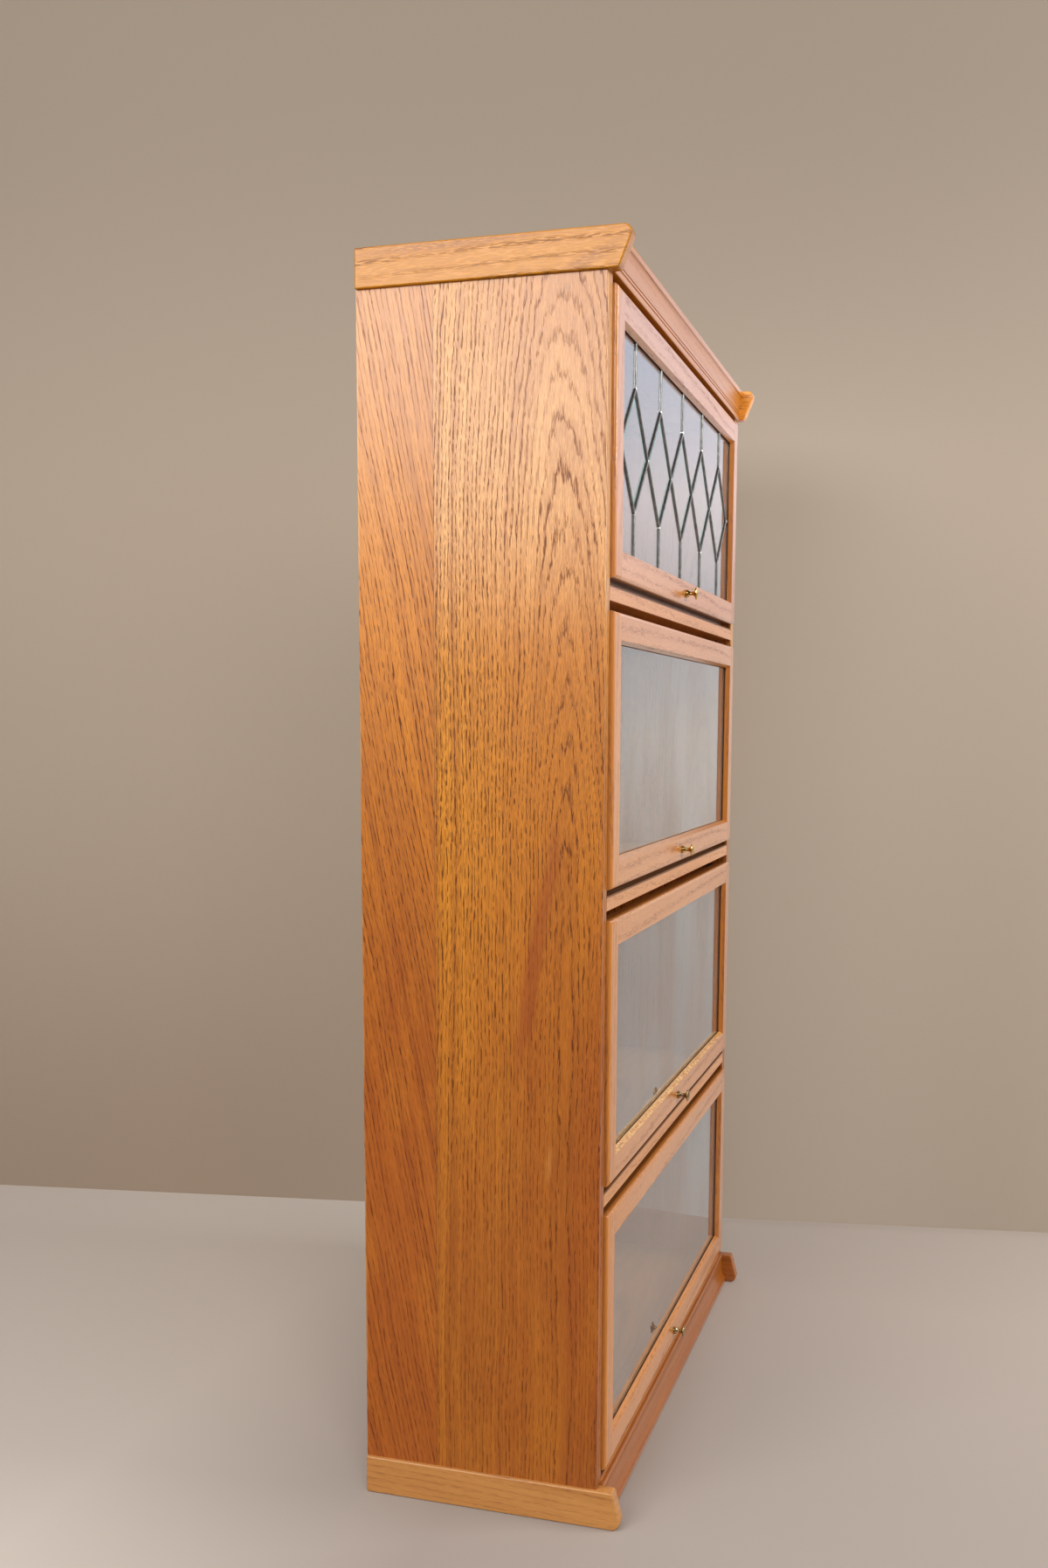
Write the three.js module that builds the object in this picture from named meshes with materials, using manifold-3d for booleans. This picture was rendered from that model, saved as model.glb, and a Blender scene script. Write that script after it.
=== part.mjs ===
// Oak barrister bookcase: four glazed doors that lift and slide back over the shelves.
// Millimetres. The front faces -Y, the floor is z = 0 and the case is centred on x = 0.
import * as THREE from "three";
import { mergeVertices } from "three/addons/utils/BufferGeometryUtils.js";
import Module from "manifold-3d";

const wasm = await Module();
wasm.setup();

// Carcase
const caseWidth = 910;
const caseDepth = 318;
const panelThickness = 22;
const panelEdgeRadius = 1.6;
const boardThickness = 19;
const boardRise = 7;
const lippingDepth = 25;
const lippingRadius = 1.2;
const backThickness = 6;
const backInset = 2;
const rebateWidth = 7;

// Crown and base
const crownHeight = 48;
const baseHeight = 50;
const endThickness = 20;
const endProud = 5;
const crownReach = 28.6;
const crownNoseRadius = 9.8;
const crownSlant = THREE.MathUtils.degToRad(22.7);
const baseReach = 31.5;
const baseNoseRadius = 11;
const baseSlant = THREE.MathUtils.degToRad(15);
const endBackRadius = 2.5;
const stretcherThickness = 20;

// Moulding section, from the bead outwards to the lip
const beadReach = 5.5;
const beadHeight = 8;
const quirkReach = 3.4;
const quirkHeight = 1.3;
const filletReach = 5;
const filletHeight = 3.2;
const crownLipReach = 11;
const baseLipReach = 13;
const lipHeight = 9.5;
const lipRadius = 3.6;
const crownMouldingBack = 9;
const baseMouldingBack = 8;

// Doors
const tiers = 4;
const doorHeight = 340;
const doorThickness = 20;
const doorProud = 6;
const doorSideGap = 2.4;
const gapBelowDoor = 8;
const gapAboveDoor = 11.7;
const gapUnderCrown = 8.9;
const doorEdgeRadius = 5;
const memberWidth = 34;
const stickingWidth = 4;
const quirkDepth = 2.4;
const quirkWidth = 1.2;
const glassSetback = 9.5;
const glassThickness = 3;
const glassGrooveDepth = 6;
const glassPlay = 0.3;
const glassEdgeGap = 1;
const stopDepth = 10;
const stopHeight = 11;

// Runners, which slide in the side panels and carry the door on their pins
const pivotSetback = 8;
const pivotBelowTop = 8;
const grooveWidth = 8;
const grooveDepth = 9;
const runnerLength = 32;
const runnerPlay = 0.3;
const pinRadius = 2.5;
const pinPlay = 0.3;
const pinEngagement = 9;
const pinHoleDepth = 10.5;

// Knobs, lengths measured out from the face of the door
const knobHeadRadius = 9;
const knobHeadStart = 14.6;
const knobRim = 1.2;
const knobLength = 18.6;
const knobWaistRadius = 2.7;
const knobWaistStart = 9.4;
const knobBaseRadius = 5.8;
const knobBaseStraight = 1.2;
const knobShoulderRadius = 5.4;
const knobShoulderStart = 4.6;
const knobStudRadius = 2;
const knobStudLength = 14;
const knobHolePlay = 0.3;

// Leaded pattern of the top door
const diamonds = 5;
const tipStub = 18.1;
const uprightStub = 55.5;
const cameWidth = 6;
const cameProud = 2.2;
const cameShoulder = 0.9;
const cameCrest = 3.4;
const solderRadius = 4.6;
const solderProud = 2.6;
const leadGap = 0.1;

// Working values
const seatGap = 0.3;
const overrun = 5;
const weldDistance = 0.001;
const arcSteps = 6;
const knobArcSteps = 3;
const knobSteps = 20;
const pinSteps = 16;
const solderSteps = 8;

// Finishes
const oakCase = { color: 0xc98d4e, roughness: 0.5 };
const oakEnds = { color: 0xd1924b, roughness: 0.45 };
const oakDoor = { color: 0xd6a06c, roughness: 0.45 };
const oakPly = { color: 0xb98a58, roughness: 0.7 };
const brass = { color: 0xc9a04e, roughness: 0.25, metalness: 1 };
const lead = { color: 0x6a6c6c, roughness: 0.45, metalness: 0.8 };
const nylon = { color: 0x2c2a28, roughness: 0.6 };
const glass = { color: 0xc3cdd0, roughness: 0.05 };

// Derived places
const panelInner = caseWidth / 2 - panelThickness;
const endOuter = caseWidth / 2 + endProud;
const endInner = endOuter - endThickness;
const backFront = caseDepth - backInset - backThickness;
const shelfBack = backFront - seatGap;
const tierPitch = boardThickness + gapBelowDoor + doorHeight + gapAboveDoor;
const bottomTop = baseHeight + boardRise;
const bottomUnder = bottomTop - boardThickness;
const topDoorTop = shelfTop(tiers - 1) + gapBelowDoor + doorHeight;
const crownBottom = topDoorTop + gapUnderCrown;
const doorHalfWidth = panelInner - doorSideGap;
const doorBack = doorThickness - doorProud;
const openingHalfWidth = doorHalfWidth - memberWidth;
const sightHalfWidth = openingHalfWidth - stickingWidth;
const sightBottom = memberWidth + stickingWidth;
const sightTop = doorHeight - sightBottom;
const lipBack = glassSetback - doorProud;
const lipEdge = lipBack - quirkDepth;
const glassFront = lipBack + glassPlay;
const glassBack = glassFront + glassThickness;
const pivotHeight = doorHeight - pivotBelowTop;

const axisX = new THREE.Vector3(1, 0, 0);
const axisY = new THREE.Vector3(0, 1, 0);
const axisZ = new THREE.Vector3(0, 0, 1);
const forwards = axisY.clone().negate();
const sideways = new THREE.Matrix4().makeBasis(axisY, axisZ, axisX);
const upright = new THREE.Matrix4().makeBasis(axisX, axisZ, forwards);

// Height of the top face of a shelf; tier 0 stands on the bottom board
function shelfTop(tier) {
  return bottomTop + tier * tierPitch;
}

function outline(points) {
  return new THREE.Shape(points.map(([u, v]) => new THREE.Vector2(u, v)));
}

function extrude(shape, length) {
  return new THREE.ExtrudeGeometry(shape, {
    depth: length,
    bevelEnabled: false,
    curveSegments: arcSteps,
  });
}

// A (y, z) outline run along X from one place to another
function runAlongX(shape, from, to) {
  return extrude(shape, to - from).applyMatrix4(sideways).translate(from, 0, 0);
}

// An (x, z) outline run along Y
function runAlongY(shape, from, to) {
  return extrude(shape, to - from).applyMatrix4(upright).translate(0, to, 0);
}

// An (x, y) outline run along Z
function runAlongZ(shape, from, to) {
  return extrude(shape, to - from).translate(0, 0, from);
}

function box(x, y, z) {
  const size = [x, y, z].map(([from, to]) => to - from);
  const centre = [x, y, z].map(([from, to]) => (from + to) / 2);
  return new THREE.BoxGeometry(...size).translate(...centre);
}

function solid(geometry) {
  const bare = geometry.clone();
  bare.deleteAttribute("normal");
  bare.deleteAttribute("uv");
  const welded = mergeVertices(bare, weldDistance);
  return new wasm.Manifold(
    new wasm.Mesh({
      numProp: 3,
      vertProperties: welded.attributes.position.array,
      triVerts: new Uint32Array(welded.index.array),
    }),
  );
}

function geometryOf(made) {
  const { vertProperties, triVerts } = made.getMesh();
  const indexed = new THREE.BufferGeometry();
  indexed.setAttribute("position", new THREE.BufferAttribute(vertProperties, 3));
  indexed.setIndex(new THREE.BufferAttribute(triVerts, 1));
  const flat = indexed.toNonIndexed();
  flat.computeVertexNormals();
  return flat;
}

function piece(name, geometry, finish) {
  const mesh = new THREE.Mesh(geometry, new THREE.MeshStandardMaterial(finish));
  mesh.name = name;
  return mesh;
}

// Rectangle in (u, v) whose two corners at the low u side are rounded
function noseRounded(u0, v0, u1, v1, radius) {
  const shape = new THREE.Shape();
  shape.moveTo(u1, v0);
  shape.lineTo(u1, v1);
  shape.lineTo(u0 + radius, v1);
  shape.absarc(u0 + radius, v1 - radius, radius, Math.PI / 2, Math.PI, false);
  shape.absarc(u0 + radius, v0 + radius, radius, Math.PI, 1.5 * Math.PI, false);
  return shape;
}

// Rectangle in (x, y) whose two front corners are rounded
function frontRounded(x0, y0, x1, y1, radius) {
  const shape = new THREE.Shape();
  shape.moveTo(x1, y1);
  shape.lineTo(x0, y1);
  shape.absarc(x0 + radius, y0 + radius, radius, Math.PI, 1.5 * Math.PI, false);
  shape.absarc(x1 - radius, y0 + radius, radius, 1.5 * Math.PI, 2 * Math.PI, false);
  return shape;
}

// Slot in (y, z) with a round front end at the pivot, open to the back
function slotOutline(width, back) {
  const radius = width / 2;
  const shape = new THREE.Shape();
  shape.moveTo(back, pivotHeight - radius);
  shape.lineTo(back, pivotHeight + radius);
  shape.absarc(pivotSetback, pivotHeight, radius, Math.PI / 2, 1.5 * Math.PI, false);
  return shape;
}

// Side panel with a rebate for the back and one runner groove for each door
function sidePanel(side) {
  const board = frontRounded(panelInner, 0, caseWidth / 2, caseDepth, panelEdgeRadius);
  const rebate = box(
    [panelInner - overrun, panelInner + rebateWidth],
    [backFront, caseDepth + overrun],
    [baseHeight - overrun, crownBottom + overrun],
  );
  let made = solid(runAlongZ(board, baseHeight, crownBottom)).subtract(solid(rebate));
  const groove = slotOutline(grooveWidth, caseDepth + overrun);
  for (let tier = 0; tier < tiers; tier++) {
    const cut = runAlongX(groove, panelInner - overrun, panelInner + grooveDepth);
    made = made.subtract(solid(cut.translate(0, 0, shelfTop(tier) + gapBelowDoor)));
  }
  return mirrored(geometryOf(made), side);
}

// The right-hand piece as built, or its mirror image for the left
function mirrored(geometry, side) {
  if (side > 0) return geometry;
  const turned = solid(geometry).mirror([1, 0, 0]);
  return geometryOf(turned);
}

function carcase() {
  const group = new THREE.Group();
  group.add(piece("left_side_panel", sidePanel(-1), oakCase));
  group.add(piece("right_side_panel", sidePanel(1), oakCase));
  const backHalf = panelInner + rebateWidth - seatGap;
  const back = box(
    [-backHalf, backHalf],
    [backFront, backFront + backThickness],
    [bottomUnder, crownBottom],
  );
  group.add(piece("back_panel", back, oakPly));
  for (let tier = 0; tier < tiers; tier++) group.add(...shelf(tier));
  return group;
}

function shelf(tier) {
  const top = shelfTop(tier);
  const under = top - boardThickness;
  const name = tier === 0 ? "bottom_board" : "shelf_" + (tiers - tier);
  const board = box([-panelInner, panelInner], [lippingDepth, shelfBack], [under, top]);
  const edge = noseRounded(0, under, lippingDepth, top, lippingRadius);
  const stopFront = doorBack + seatGap;
  const stop = box(
    [-panelInner, panelInner],
    [stopFront, stopFront + stopDepth],
    [top, top + stopHeight],
  );
  return [
    piece(name, board, oakCase),
    piece(name + "_lipping", runAlongX(edge, -panelInner, panelInner), oakDoor),
    piece("door_stop_" + (tiers - tier), stop, oakCase),
  ];
}

// Shaped end board in (y, z): a nose that slants back to the far edge
function endOutline(height, reach, radius, slant) {
  const centreY = radius - reach;
  const centreZ = height - radius;
  const tangentY = centreY - radius * Math.cos(slant);
  const tangentZ = centreZ - radius * Math.sin(slant);
  const shape = new THREE.Shape();
  shape.moveTo(caseDepth, 0);
  shape.lineTo(caseDepth, height - endBackRadius);
  const backY = caseDepth - endBackRadius;
  shape.absarc(backY, height - endBackRadius, endBackRadius, 0, Math.PI / 2, false);
  shape.absarc(centreY, centreZ, radius, Math.PI / 2, Math.PI + slant, false);
  shape.lineTo(tangentY + tangentZ * Math.tan(slant), 0);
  return shape;
}

// Moulding in (y, z): bead, two fillets, cove and lip, from z = 0 up to its height
function mouldingOutline(height, lipReach, back) {
  const lipBottom = height - lipHeight;
  const lowFillet = beadHeight + quirkHeight;
  const highQuirk = lowFillet + filletHeight;
  const highFillet = highQuirk + quirkHeight;
  const coveBottom = highFillet + filletHeight;
  const shape = new THREE.Shape();
  shape.moveTo(back, 0);
  shape.lineTo(-quirkReach, 0);
  shape.quadraticCurveTo(-beadReach, 0, -beadReach, beadHeight / 2);
  shape.quadraticCurveTo(-beadReach, beadHeight, -quirkReach, beadHeight);
  shape.lineTo(-quirkReach, lowFillet);
  shape.lineTo(-filletReach, lowFillet);
  shape.lineTo(-filletReach, highQuirk);
  shape.lineTo(-quirkReach, highQuirk);
  shape.lineTo(-quirkReach, highFillet);
  shape.lineTo(-filletReach, highFillet);
  shape.lineTo(-filletReach, coveBottom);
  shape.quadraticCurveTo(-filletReach, lipBottom, -lipReach, lipBottom);
  shape.lineTo(-lipReach, height - lipRadius);
  shape.quadraticCurveTo(-lipReach, height, lipRadius - lipReach, height);
  shape.lineTo(back, height);
  return shape;
}

function crown() {
  const group = new THREE.Group();
  group.position.z = crownBottom;
  const shape = endOutline(crownHeight, crownReach, crownNoseRadius, crownSlant);
  const moulding = mouldingOutline(crownHeight, crownLipReach, crownMouldingBack);
  const boardUnder = crownHeight - boardThickness;
  const board = box(
    [-endInner, endInner],
    [crownMouldingBack, caseDepth],
    [boardUnder, crownHeight],
  );
  const railFront = caseDepth - stretcherThickness;
  const rail = box([-endInner, endInner], [railFront, caseDepth], [0, boardUnder]);
  group.add(piece("crown_left_end", runAlongX(shape, -endOuter, -endInner), oakEnds));
  group.add(piece("crown_right_end", runAlongX(shape, endInner, endOuter), oakEnds));
  group.add(piece("crown_moulding", runAlongX(moulding, -endInner, endInner), oakDoor));
  group.add(piece("crown_top_board", board, oakCase));
  group.add(piece("crown_back_rail", rail, oakCase));
  return group;
}

function base() {
  const group = new THREE.Group();
  const ends = endOutline(baseHeight, baseReach, baseNoseRadius, baseSlant);
  const moulding = mouldingOutline(baseHeight, baseLipReach, baseMouldingBack);
  const upsideDown = (geometry) =>
    geometryOf(solid(geometry).mirror([0, 0, 1]).translate([0, 0, baseHeight]));
  const ledge = box(
    [-endInner - overrun, endInner + overrun],
    [0, baseMouldingBack + overrun],
    [bottomUnder - seatGap, baseHeight + overrun],
  );
  const front = solid(upsideDown(runAlongX(moulding, -endInner, endInner))).subtract(solid(ledge));
  const railFront = caseDepth - stretcherThickness;
  const rail = box([-endInner, endInner], [railFront, caseDepth], [0, bottomUnder]);
  group.add(piece("base_left_end", upsideDown(runAlongX(ends, -endOuter, -endInner)), oakEnds));
  group.add(piece("base_right_end", upsideDown(runAlongX(ends, endInner, endOuter)), oakEnds));
  group.add(piece("base_moulding", geometryOf(front), oakDoor));
  group.add(piece("base_back_rail", rail, oakCase));
  return group;
}

// Two runs across each other, met at mitred corners
function crossed(acrossOutline, uprightOutline) {
  const tall = runAlongZ(acrossOutline, -overrun, doorHeight + overrun);
  const wide = runAlongX(uprightOutline, -doorHalfWidth - overrun, doorHalfWidth + overrun);
  return solid(tall).intersect(solid(wide));
}

// The whole door frame before it is divided into its four members
function frameBlank() {
  const slope = stickingWidth / (lipEdge + doorProud);
  const flare = slope * (lipEdge + doorProud + overrun);
  const quirkHalf = sightHalfWidth + quirkWidth;
  const quirkBottom = sightBottom - quirkWidth;
  const quirkTop = sightTop + quirkWidth;
  const front = -doorProud - overrun;
  const back = doorBack + overrun;
  const envelope = crossed(
    frontRounded(-doorHalfWidth, -doorProud, doorHalfWidth, doorBack, doorEdgeRadius),
    noseRounded(-doorProud, 0, doorBack, doorHeight, doorEdgeRadius),
  );
  const opening = crossed(
    outline([
      [-sightHalfWidth - flare, front],
      [sightHalfWidth + flare, front],
      [sightHalfWidth, lipEdge],
      [quirkHalf, lipEdge],
      [quirkHalf, lipBack],
      [sightHalfWidth, lipBack],
      [sightHalfWidth, back],
      [-sightHalfWidth, back],
      [-sightHalfWidth, lipBack],
      [-quirkHalf, lipBack],
      [-quirkHalf, lipEdge],
      [-sightHalfWidth, lipEdge],
    ]),
    outline([
      [front, sightBottom - flare],
      [lipEdge, sightBottom],
      [lipEdge, quirkBottom],
      [lipBack, quirkBottom],
      [lipBack, sightBottom],
      [back, sightBottom],
      [back, sightTop],
      [lipBack, sightTop],
      [lipBack, quirkTop],
      [lipEdge, quirkTop],
      [lipEdge, sightTop],
      [front, sightTop + flare],
    ]),
  );
  const grooveHalf = sightHalfWidth + glassGrooveDepth;
  const groove = box(
    [-grooveHalf, grooveHalf],
    [lipBack, glassBack + glassPlay],
    [sightBottom - glassGrooveDepth, sightTop + glassGrooveDepth],
  );
  return envelope.subtract(opening).subtract(solid(groove));
}

// Outlines in (x, z) that divide the frame: the sticking is mitred, the members butt
function memberOutlines() {
  const edge = doorHalfWidth + overrun;
  const top = doorHeight - memberWidth;
  const stile = outline([
    [openingHalfWidth, -overrun],
    [edge, -overrun],
    [edge, doorHeight + overrun],
    [openingHalfWidth, doorHeight + overrun],
    [openingHalfWidth, top],
    [sightHalfWidth, sightTop],
    [sightHalfWidth, sightBottom],
    [openingHalfWidth, memberWidth],
  ]);
  const rail = outline([
    [-openingHalfWidth, -overrun],
    [openingHalfWidth, -overrun],
    [openingHalfWidth, memberWidth],
    [sightHalfWidth, sightBottom],
    [-sightHalfWidth, sightBottom],
    [-openingHalfWidth, memberWidth],
  ]);
  return { stile, rail };
}

function member(blank, shape) {
  return blank.intersect(solid(runAlongY(shape, -doorProud - overrun, doorBack + overrun)));
}

function rodAlongX(radius, length) {
  return rodAlongY(radius, length).rotateZ(Math.PI / 2);
}

function rodAlongY(radius, length) {
  return new THREE.CylinderGeometry(radius, radius, length, pinSteps);
}

// Knob turned about the axis that points out of the door
function knobGeometry() {
  const path = new THREE.Path();
  path.moveTo(0, -knobStudLength);
  path.lineTo(knobStudRadius, -knobStudLength);
  path.lineTo(knobStudRadius, 0);
  path.lineTo(knobBaseRadius, 0);
  path.lineTo(knobBaseRadius, knobBaseStraight);
  path.quadraticCurveTo(knobBaseRadius, knobShoulderStart, knobShoulderRadius, knobShoulderStart);
  path.quadraticCurveTo(knobWaistRadius, knobShoulderStart, knobWaistRadius, knobWaistStart);
  path.quadraticCurveTo(knobWaistRadius, knobHeadStart, knobHeadRadius, knobHeadStart);
  path.lineTo(knobHeadRadius, knobHeadStart + knobRim);
  path.quadraticCurveTo(knobHeadRadius, knobLength, 0, knobLength);
  return new THREE.LatheGeometry(path.getPoints(knobArcSteps), knobSteps).rotateX(Math.PI);
}

// Bar of the lead pattern between two places in (x, z) on one face of the glass
function cameBar([x0, z0], [x1, z1], faceY, outward) {
  const half = cameWidth / 2;
  const section = outline([
    [0, -half],
    [outward * cameShoulder, -half],
    [outward * cameProud, -cameCrest / 2],
    [outward * cameProud, cameCrest / 2],
    [outward * cameShoulder, half],
    [0, half],
  ]);
  const bar = runAlongX(section, 0, Math.hypot(x1 - x0, z1 - z0));
  return bar.rotateY(-Math.atan2(z1 - z0, x1 - x0)).translate(x0, faceY, z0);
}

// Lead pattern in (x, z): bars as pairs of places, and the joints that are soldered
function leadPattern() {
  const middle = doorHeight / 2;
  const tipX = sightHalfWidth - tipStub;
  const rise = sightTop - middle - uprightStub;
  const half = tipX / diamonds;
  const endX = sightHalfWidth + overrun;
  const endZ = sightTop - middle + overrun;
  const bars = [
    [[tipX, middle], [endX, middle]],
    [[-tipX, middle], [-endX, middle]],
  ];
  const joints = [[-tipX, middle]];
  for (let i = 0; i < diamonds; i++) {
    const x = (2 * i - diamonds + 1) * half;
    joints.push([x + half, middle]);
    for (const side of [-1, 1]) {
      const tip = [x, middle + side * rise];
      joints.push(tip);
      bars.push([tip, [x, middle + side * endZ]]);
      bars.push([tip, [x - half, middle]]);
      bars.push([tip, [x + half, middle]]);
    }
  }
  return { bars, joints };
}

// Lead on one face of the glass, its ends tucked under the lip of the frame
function leadLattice(faceY, outward) {
  const dropY = faceY + (outward * solderProud) / 2;
  const { bars, joints } = leadPattern();
  let made = null;
  for (const [from, to] of bars) {
    const bar = solid(cameBar(from, to, faceY, outward));
    made = made ? made.add(bar) : bar;
  }
  for (const [x, z] of joints) {
    const drop = new THREE.CylinderGeometry(solderRadius, solderRadius, solderProud, solderSteps);
    made = made.add(solid(drop.translate(x, dropY, z)));
  }
  const tuck = outward < 0 ? quirkWidth - seatGap : -seatGap;
  const reachX = sightHalfWidth + tuck;
  const sight = box(
    [-reachX, reachX],
    [-doorProud, doorBack],
    [sightBottom - tuck, sightTop + tuck],
  );
  return geometryOf(made.intersect(solid(sight)));
}

function door(number) {
  const group = new THREE.Group();
  const label = "door_" + number + "_";
  group.position.z = shelfTop(tiers - number) + gapBelowDoor;
  const blank = frameBlank();
  const { stile, rail } = memberOutlines();
  const pinHole = rodAlongX(pinRadius + pinPlay, pinHoleDepth + overrun);
  pinHole.translate(doorHalfWidth + (overrun - pinHoleDepth) / 2, pivotSetback, pivotHeight);
  const stileMade = member(blank, stile).subtract(solid(pinHole));
  const knobHole = rodAlongY(knobStudRadius + knobHolePlay, doorThickness + 2 * overrun);
  knobHole.translate(0, doorBack - doorThickness / 2, memberWidth / 2);
  const railMade = member(blank, rail);
  const drilled = railMade.subtract(solid(knobHole));
  const topRail = railMade.mirror([0, 0, 1]).translate([0, 0, doorHeight]);
  const glassHalf = sightHalfWidth + glassGrooveDepth - glassEdgeGap;
  const glassLow = sightBottom - glassGrooveDepth + glassEdgeGap;
  const pane = box([-glassHalf, glassHalf], [glassFront, glassBack], [glassLow, doorHeight - glassLow]);
  const knob = knobGeometry().translate(0, -doorProud, memberWidth / 2);
  group.add(piece(label + "left_stile", mirrored(geometryOf(stileMade), -1), oakDoor));
  group.add(piece(label + "right_stile", geometryOf(stileMade), oakDoor));
  group.add(piece(label + "top_rail", geometryOf(topRail), oakDoor));
  group.add(piece(label + "bottom_rail", geometryOf(drilled), oakDoor));
  group.add(piece(label + "glass", pane, glass));
  group.add(piece(label + "knob", knob, brass));
  group.add(piece(label + "left_runner", mirrored(runner(), -1), nylon));
  group.add(piece(label + "right_runner", runner(), nylon));
  return group;
}

// Shoe that slides in the panel's groove, with the pin that the door hangs from
function runner() {
  const shoeInner = panelInner + runnerPlay;
  const shoeOuter = panelInner + grooveDepth - runnerPlay;
  const radius = grooveWidth / 2 - runnerPlay;
  const back = pivotSetback - radius + runnerLength;
  const shoe = slotOutline(2 * radius, back);
  const pinEnd = doorHalfWidth - pinEngagement;
  const pin = rodAlongX(pinRadius, shoeOuter - pinEnd);
  pin.translate((shoeOuter + pinEnd) / 2, pivotSetback, pivotHeight);
  return geometryOf(solid(runAlongX(shoe, shoeInner, shoeOuter)).add(solid(pin)));
}

const bookcase = new THREE.Group();
bookcase.add(carcase());
bookcase.add(crown());
bookcase.add(base());
for (let number = 1; number <= tiers; number++) bookcase.add(door(number));
const topDoor = bookcase.getObjectByName("door_1_glass").parent;
topDoor.add(piece("door_1_lead_front", leadLattice(glassFront - leadGap, -1), lead));
topDoor.add(piece("door_1_lead_back", leadLattice(glassBack + leadGap, 1), lead));

export default bookcase;
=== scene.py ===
import math

import bmesh
import bpy
from mathutils import Matrix, Vector


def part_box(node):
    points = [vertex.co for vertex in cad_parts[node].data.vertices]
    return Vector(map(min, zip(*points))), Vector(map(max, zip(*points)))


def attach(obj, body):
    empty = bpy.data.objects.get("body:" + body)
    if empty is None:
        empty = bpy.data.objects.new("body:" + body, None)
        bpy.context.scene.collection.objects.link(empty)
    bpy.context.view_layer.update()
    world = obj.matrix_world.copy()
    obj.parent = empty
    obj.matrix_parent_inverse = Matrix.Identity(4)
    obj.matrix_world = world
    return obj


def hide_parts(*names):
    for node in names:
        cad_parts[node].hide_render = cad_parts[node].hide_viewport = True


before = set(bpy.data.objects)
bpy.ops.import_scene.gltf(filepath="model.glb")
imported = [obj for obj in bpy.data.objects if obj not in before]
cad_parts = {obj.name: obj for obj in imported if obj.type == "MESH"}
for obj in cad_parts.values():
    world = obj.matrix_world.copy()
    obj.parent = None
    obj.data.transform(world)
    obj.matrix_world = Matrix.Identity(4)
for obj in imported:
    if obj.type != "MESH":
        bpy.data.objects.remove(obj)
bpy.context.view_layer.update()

scene = bpy.context.scene
scene.view_settings.view_transform = "Standard"
print("frame loaded:", len(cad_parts), "nodes")


# Camera, solved from the edges of the case in the photo

cameraSetup = {
    "place": (-2.2014, -0.4493, 1.0242),
    "yaw": 16.637,  # degrees from +X towards +Y
    "pitch": -7.049,
    "roll": 0.290,
    "lens": 34.12,
    "shift": (-0.0136, 0.0797),
}


def makeCamera(setup):
    yaw, pitch, roll = (math.radians(setup[key]) for key in ("yaw", "pitch", "roll"))
    ahead = Vector((math.cos(pitch) * math.cos(yaw), math.cos(pitch) * math.sin(yaw), math.sin(pitch)))
    level = Vector((math.sin(yaw), -math.cos(yaw), 0))
    above = level.cross(ahead)
    right = math.cos(roll) * level + math.sin(roll) * above
    up = math.cos(roll) * above - math.sin(roll) * level
    data = bpy.data.cameras.new("photoCamera")
    data.lens = setup["lens"]
    data.sensor_width = 36
    data.shift_x, data.shift_y = setup["shift"]
    camera = bpy.data.objects.new("photoCamera", data)
    turn = Matrix((right, up, -ahead)).transposed().to_4x4()
    camera.matrix_world = Matrix.Translation(setup["place"]) @ turn
    scene.collection.objects.link(camera)
    scene.camera = camera


makeCamera(cameraSetup)
print("camera placed")


# Helpers for the node trees

def wire(tree, kind, inputs=None, **settings):
    made = tree.nodes.new("ShaderNode" + kind)
    for key, value in settings.items():
        setattr(made, key, value)
    for key, value in (inputs or {}).items():
        if isinstance(value, bpy.types.NodeSocket):
            tree.links.new(value, made.inputs[key])
        else:
            made.inputs[key].default_value = value
    return made


def blendOf(tree, factor, first, second, mode="MIX"):
    made = wire(tree, "Mix", data_type="RGBA", blend_type=mode)
    for key, value in (("Factor", factor), ("A", first), ("B", second)):
        socket = [s for s in made.inputs if s.name == key and s.enabled][0]
        if isinstance(value, bpy.types.NodeSocket):
            tree.links.new(value, socket)
        else:
            socket.default_value = value
    return [s for s in made.outputs if s.enabled][0]


def mathOf(tree, operation, *values, clamp=False):
    return wire(tree, "Math", dict(enumerate(values)), operation=operation, use_clamp=clamp).outputs[0]


def timesOf(tree, first, second, clamp=False):
    return mathOf(tree, "MULTIPLY", first, second, clamp=clamp)


def vectorOf(tree, operation, first, second):
    return wire(tree, "VectorMath", {0: first, 1: second}, operation=operation).outputs[0]


def scaledOf(tree, vector, factor):
    return wire(tree, "VectorMath", {0: vector, "Scale": factor}, operation="SCALE").outputs[0]


def lengthOf(tree, vector):
    return wire(tree, "VectorMath", {0: vector}, operation="LENGTH").outputs["Value"]


def upwardOf(tree, place):
    return wire(tree, "SeparateXYZ", {0: place}).outputs[2]


def spanOf(tree, value, low, high, toLow=0.0, toHigh=1.0, smooth=False):
    made = wire(tree, "MapRange", {"From Min": low, "From Max": high, "To Min": toLow, "To Max": toHigh})
    made.interpolation_type = "SMOOTHSTEP" if smooth else "LINEAR"
    tree.links.new(value, made.inputs["Value"])
    return made.outputs[0]


def noiseOf(tree, vector, stretch, detail=2.0, roughness=0.5):
    scaled = vectorOf(tree, "MULTIPLY", vector, stretch)
    return wire(tree, "TexNoise", {"Vector": scaled, "Scale": 1.0, "Detail": detail, "Roughness": roughness})


def newGroup(name, inputs, outputs):
    group = bpy.data.node_groups.new(name, "ShaderNodeTree")
    for label, kind, value in inputs:
        socket = group.interface.new_socket(label, in_out="INPUT", socket_type="NodeSocket" + kind)
        if value is not None:
            socket.default_value = value
    for label, kind in outputs:
        group.interface.new_socket(label, in_out="OUTPUT", socket_type="NodeSocket" + kind)
    return group, group.nodes.new("NodeGroupInput"), group.nodes.new("NodeGroupOutput")


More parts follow.
